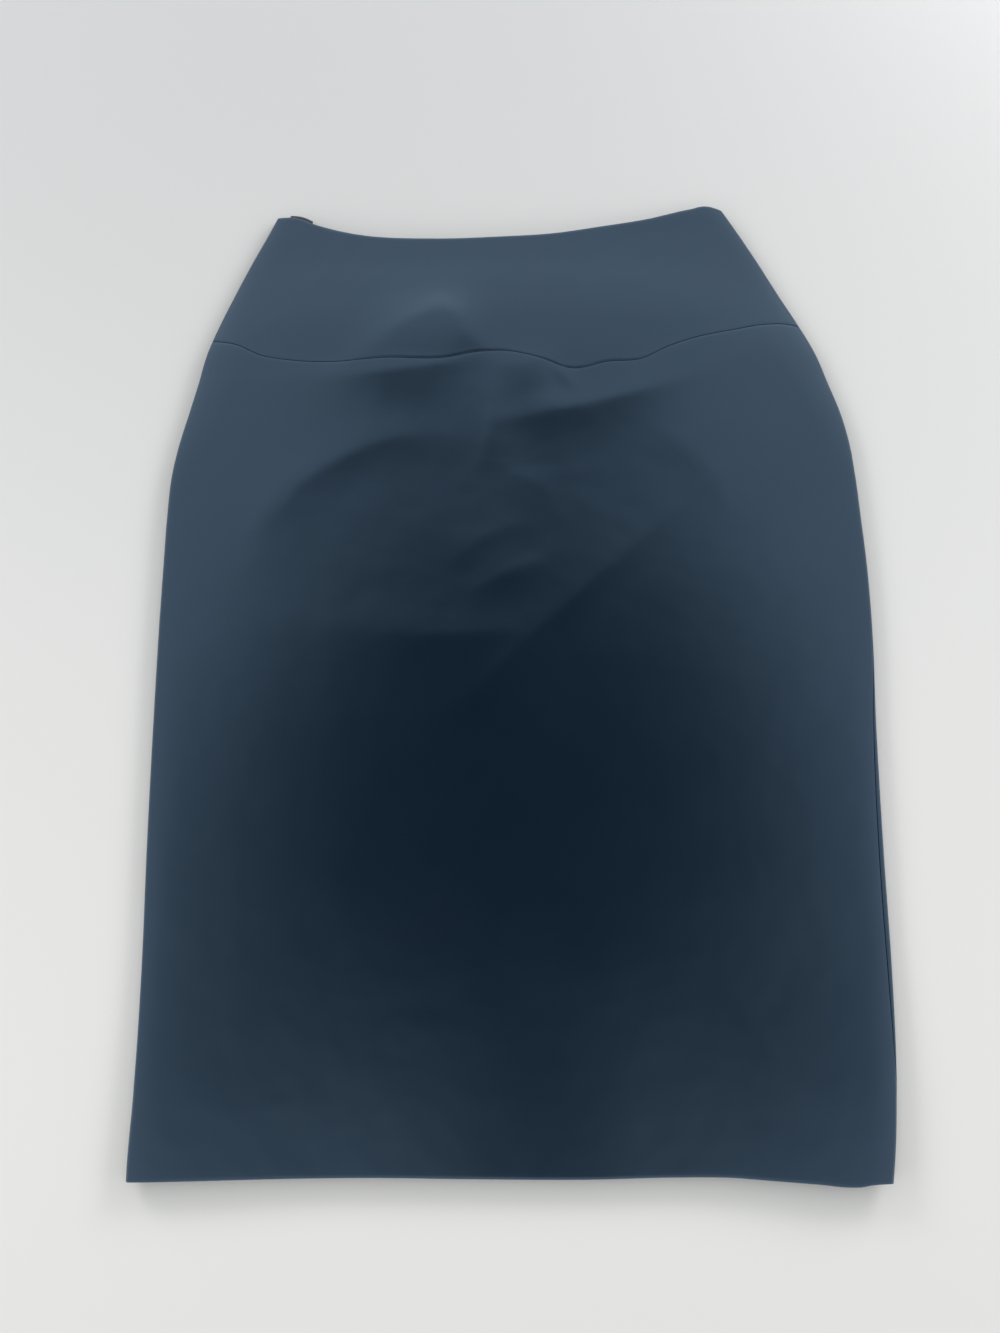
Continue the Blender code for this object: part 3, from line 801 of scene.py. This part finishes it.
def enamel_material():
    material, tree, shader = new_material("baked_enamel_on_zinc")
    place = add_node(tree, "ShaderNodeTexCoord").outputs["Object"]
    orange_peel = add_node(tree, "ShaderNodeTexNoise", values={"Scale": 1 / PEEL_SIZE, "Detail": 2.0},
                           feeds={"Vector": place}).outputs["Fac"]
    shine = add_node(tree, "ShaderNodeMapRange", values={"To Min": 0.28, "To Max": 0.45},
                     feeds={"Value": orange_peel})
    tree.links.new(shine.outputs["Result"], shader.inputs["Roughness"])
    bump = add_node(tree, "ShaderNodeBump", values={"Strength": 0.2, "Distance": PEEL_HEIGHT},
                    feeds={"Height": orange_peel})
    tree.links.new(bump.outputs["Normal"], shader.inputs["Normal"])
    shader.inputs["Base Color"].default_value = linear(ENAMEL)
    shader.inputs["Metallic"].default_value = 0.6
    return material


tape_weave = tape_material()
nylon = coil_material()
enamel = enamel_material()
print(", ".join(material.name for material in (tape_weave, nylon, enamel)))

# %% [markdown]
# ## Hand the pieces to the frame
# Each piece gets its material, rides on the skirt's one body and hides the solid that it stands
# for.

for node, piece in suiting_pieces.items():
    piece.data.materials.clear()
    piece.data.materials.append(suiting)
    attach(piece, "root")
    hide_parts(node)

zip_tape.data.materials.append(tape_weave)
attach(zip_tape, "root")
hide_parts("side_zip_tape")
zip_coil.data.materials.append(nylon)
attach(zip_coil, "root")
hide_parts("side_zip_tape")

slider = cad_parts["zip_slider"]
slider.data.materials.clear()
slider.data.materials.append(enamel)
print("declared", len(suiting_pieces) + 1, "sheets")

# %% [markdown]
# ## Table
# A plain pale table fills the view. One big plane does, and its paint is a matt one. A painted
# shade eases its colour from one end to the other along Y, a little greyer past the waist, where
# less light falls.

# %% Table
TABLE_WHITE = "#c0c0be"
# Painted shade: the table's colour turns greyer towards the far end
TABLE_FAR_SHADE = "#a2a3a4"     # greyer past the waist, where less light falls
FAR_SHADE_SPAN = (-0.40, 0.55)
TABLE_DROP = 0.0003
TABLE_SIZE = 8.0

bpy.ops.mesh.primitive_plane_add(size=TABLE_SIZE, location=(0.0, 0.0, -TABLE_DROP))
table = bpy.context.object
table.name = "table"
material, tree, shader = new_material("painted_table")
place = add_node(tree, "ShaderNodeTexCoord").outputs["Object"]
apart = add_node(tree, "ShaderNodeSeparateXYZ", feeds={"Vector": place})
# A painted shade eases the table's colour greyer along Y, past the waist
far_shade = add_node(tree, "ShaderNodeMapRange", {"interpolation_type": "SMOOTHSTEP"},
               {"From Min": FAR_SHADE_SPAN[0], "From Max": FAR_SHADE_SPAN[1]}, {"Value": apart.outputs["Y"]})
paint = add_node(tree, "ShaderNodeMix", {"data_type": "RGBA"},
                 {"A": linear(TABLE_WHITE), "B": linear(TABLE_FAR_SHADE)}, {"Factor": far_shade.outputs["Result"]})
tree.links.new(paint.outputs["Result"], shader.inputs["Base Color"])
shader.inputs["Roughness"].default_value = 0.6
table.data.materials.append(material)
print("table", table.dimensions[0], "m across")

# %% [markdown]
# ## Light
# The room gives most of the light. Whoever looks straight down at a skirt keeps the light from
# above off it, so the room is dark straight overhead and leaves the middle of the cloth deeper
# than its edges. Low banks at both sides and far past the waist light the table and cast the soft
# shadows beside the hem, and a small one brightens the table's far right corner. They are kept out
# of reflections, since smooth cloth would mirror them as bright bars.

# %% Lights
# name              place                height length watts
BANKS = (
    ("side_bank_left", (-1.60, 0.10, 0.60), 0.60, 3.00, 20.0),
    ("side_bank_right", (1.60, 0.60, 0.60), 0.60, 3.00, 24.0),
    ("far_bank_left", (-2.20, 2.40, 0.84), 0.60, 1.60, 90.0),
    ("far_bank_right", (2.20, 2.40, 0.84), 0.60, 1.60, 84.0),
    ("corner_bank", (0.68, 0.80, 0.22), 0.30, 0.50, 3.2),
)
BANK_COLOUR = (1.0, 0.99, 0.98)
# How bright the room is at each angle from the darkest spot, which is almost straight overhead
# degrees  light
ROOM_LIGHT = (
    (0.0, 0.00),
    (13.5, 0.00),
    (17.0, 0.36),
    (20.5, 0.80),
    (28.0, 0.88),
    (39.0, 0.81),
    (50.0, 1.00),
    (65.0, 1.40),
    (90.0, 0.40),
)
DARKEST = (0.005, -0.015, 1.0)
DARK_WIDENED = 1.28       # the dark spot is this much wider than it is long
ROOM_COLOUR = (0.97, 0.99, 1.0, 1.0)

# A black card where a bent head would be, because the hem mirrors it
HEAD_PLACE = (0.060, -0.660, 0.95)
HEAD_RADIUS = 0.13
CARD_BLACK = (0.01, 0.01, 0.01, 1.0)
FLAT_ANGLE = 90.0         # degrees from overhead to the horizon

for name, place, height, length, watts in BANKS:
    turn = (-Vector(place)).to_track_quat("-Z", "X").to_euler()
    bpy.ops.object.light_add(type="AREA", location=place, rotation=turn)
    bank = bpy.context.object
    bank.name = name
    bank.data.shape = "RECTANGLE"
    bank.data.size = height
    bank.data.size_y = length
    bank.data.energy = watts
    bank.data.color = BANK_COLOUR
    bank.visible_glossy = False
    bank.visible_camera = False

bpy.ops.mesh.primitive_circle_add(radius=HEAD_RADIUS, fill_type="NGON", location=HEAD_PLACE)
head = bpy.context.object
head.name = "head_shadow"
material, tree, shader = new_material("black_card")
shader.inputs["Base Color"].default_value = CARD_BLACK
shader.inputs["Roughness"].default_value = 1.0
head.data.materials.append(material)
head.visible_camera = False

world = bpy.data.worlds.new("room")
bpy.context.scene.world = world
world.use_nodes = True
tree = world.node_tree
direction = add_node(tree, "ShaderNodeTexCoord").outputs["Generated"]
widened = add_node(tree, "ShaderNodeVectorMath", {"operation": "MULTIPLY"},
                   {1: (1 / DARK_WIDENED, 1.0, 1.0)}, {0: direction}).outputs["Vector"]
aimed = add_node(tree, "ShaderNodeVectorMath", {"operation": "NORMALIZE"}, feeds={0: widened})
near_darkest = add_node(tree, "ShaderNodeVectorMath", {"operation": "DOT_PRODUCT"},
                        {1: DARKEST}, {0: aimed.outputs["Vector"]}).outputs["Value"]
angle = add_node(tree, "ShaderNodeMath", {"operation": "ARCCOSINE", "use_clamp": False},
                 feeds={0: near_darkest}).outputs[0]
share = add_node(tree, "ShaderNodeMath", {"operation": "DIVIDE", "use_clamp": True},
                 {1: math.radians(FLAT_ANGLE)}, {0: angle}).outputs[0]
ramp = add_node(tree, "ShaderNodeValToRGB", feeds={"Fac": share})
ramp.color_ramp.interpolation = "EASE"
stops = ramp.color_ramp.elements
# All the stops are placed before any gets its light, because a new place can change their order
for _ in ROOM_LIGHT[2:]:
    stops.new(1.0)
for stop, (degrees, light) in zip(stops, ROOM_LIGHT):
    stop.position = degrees / FLAT_ANGLE
for stop, (degrees, light) in zip(stops, ROOM_LIGHT):
    stop.color = (light, light, light, 1.0)
tinted = add_node(tree, "ShaderNodeMix", {"data_type": "RGBA", "blend_type": "MULTIPLY"},
                  {"Factor": 1.0, "B": ROOM_COLOUR}, {"A": ramp.outputs["Color"]})
tree.links.new(tinted.outputs["Result"], tree.nodes["Background"].inputs["Color"])
print(len(BANKS), "banks of light and the room")

# %% [markdown]
# ## Camera
# The skirt is seen from above, from about as far as it is long and from a hand's width below its
# middle, with a little tilt towards the waist. The standard view keeps the colours as they are
# lit, without a film's curve.

# %% Camera
CAMERA_PLACE = (-0.01035, -0.1111, 0.6645)
CAMERA_TILT = 9.0         # degrees, towards the waist
CAMERA_LENS = 27.0        # mm, as is the sensor's width
SENSOR_WIDTH = 36.0
NEAREST = 0.01            # metres, for pictures taken close up

bpy.ops.object.camera_add(location=CAMERA_PLACE, rotation=(math.radians(CAMERA_TILT), 0.0, 0.0))
camera = bpy.context.object
camera.data.lens = CAMERA_LENS
camera.data.sensor_width = SENSOR_WIDTH
camera.data.clip_start = NEAREST
bpy.context.scene.camera = camera
bpy.context.scene.view_settings.view_transform = "Standard"
print(f"camera {CAMERA_PLACE[2] * 1000:.0f} mm over the table")
